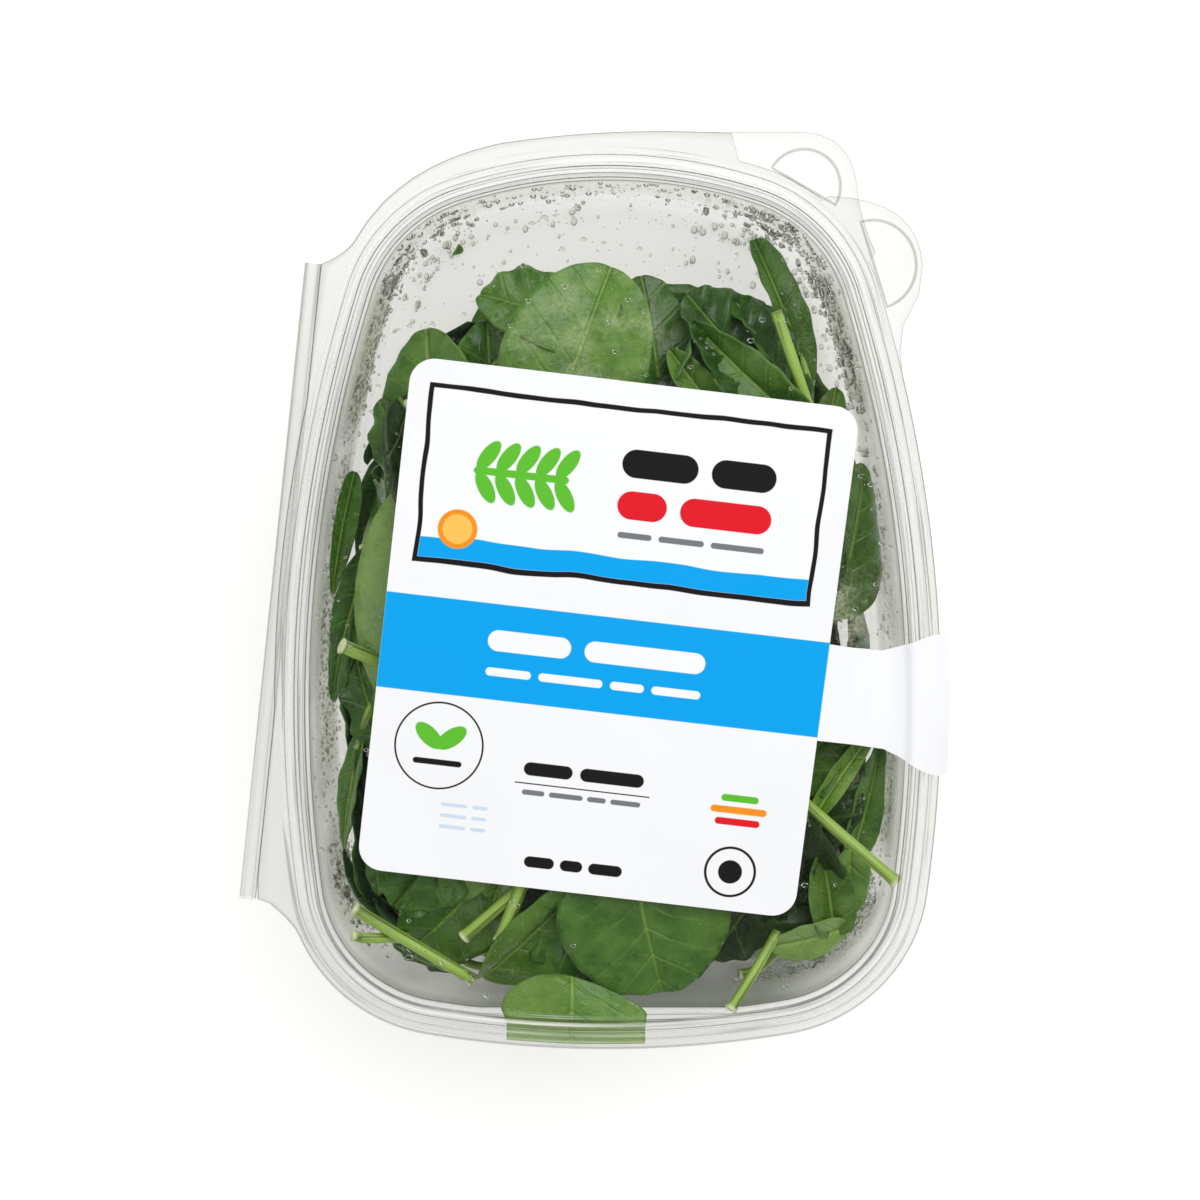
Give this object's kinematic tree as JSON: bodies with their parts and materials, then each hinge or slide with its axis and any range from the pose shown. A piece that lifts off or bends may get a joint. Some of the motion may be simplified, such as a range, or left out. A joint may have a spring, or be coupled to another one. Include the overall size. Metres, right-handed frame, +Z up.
{
  "type": "clamshell of baby spinach",
  "caption": "Clear hinged plastic clamshell with a rounded trapezoid tray, a flat lid sealed by a label's tongue, and loose baby spinach leaves inside.",
  "frame": {"origin": "middle of the tray's flat underside, on the mirror line of its outline", "axes": "+X away from the hinge, +Y towards the narrow end of the pack, +Z up through the lid"},
  "size_m": [0.1895, 0.2447, 0.0721],
  "materials": {
    "clear_tray": "clear thermoformed sheet, glossy, with condensation inside",
    "clear_lid": "clear thermoformed sheet, glossy",
    "label": "coated white paper with a satin print",
    "spinach": "fresh leaf, satin, moist"
  },
  "bodies": {
    "tray_body": {"tray": "clear_tray", "spinach": "spinach"},
    "lid_body": {"lid": "clear_lid", "label": "label"}
  },
  "joints": [
    {"name": "lid_hinge", "type": "hinge", "parent": "tray_body", "child": "lid_body", "pos_m": [-0.0887, 0.0046, 0.0662], "axis": [-0.1175, -0.9931, 0], "range_deg": [0, 180]}
  ]
}
